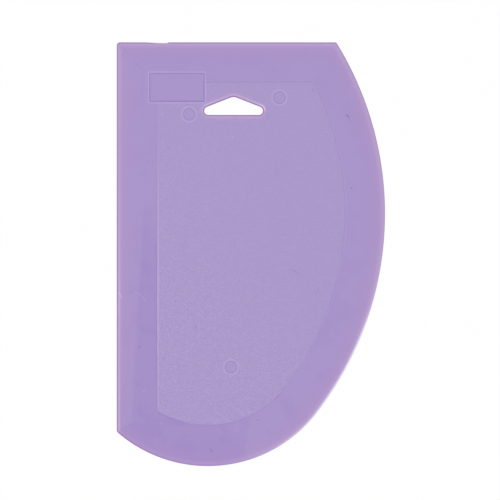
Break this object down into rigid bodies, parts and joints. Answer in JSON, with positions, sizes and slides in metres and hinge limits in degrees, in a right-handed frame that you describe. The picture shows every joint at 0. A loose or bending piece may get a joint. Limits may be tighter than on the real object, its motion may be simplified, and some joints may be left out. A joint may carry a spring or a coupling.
{
  "type": "dough scraper",
  "caption": "Flexible one-piece plastic dough scraper with a straight side, a curved side, a thinned blade round the rim, a raised grip panel and a hanging hole.",
  "frame": {"origin": "centre of the bounding box on the flat back, which is the underside of the scraper as it lies", "axes": "+X from the straight side towards the curved side, +Y along the straight side from the tight curve towards the top edge with the hanging hole, +Z out of the face with the grip panel"},
  "size_m": [0.1206, 0.1905, 0.0022],
  "materials": {
    "body": "moulded polypropylene, smooth and slightly glossy on the blade, fine matt texture on the grip panel"
  },
  "bodies": {
    "root": {"scraper": "body"}
  },
  "joints": []
}
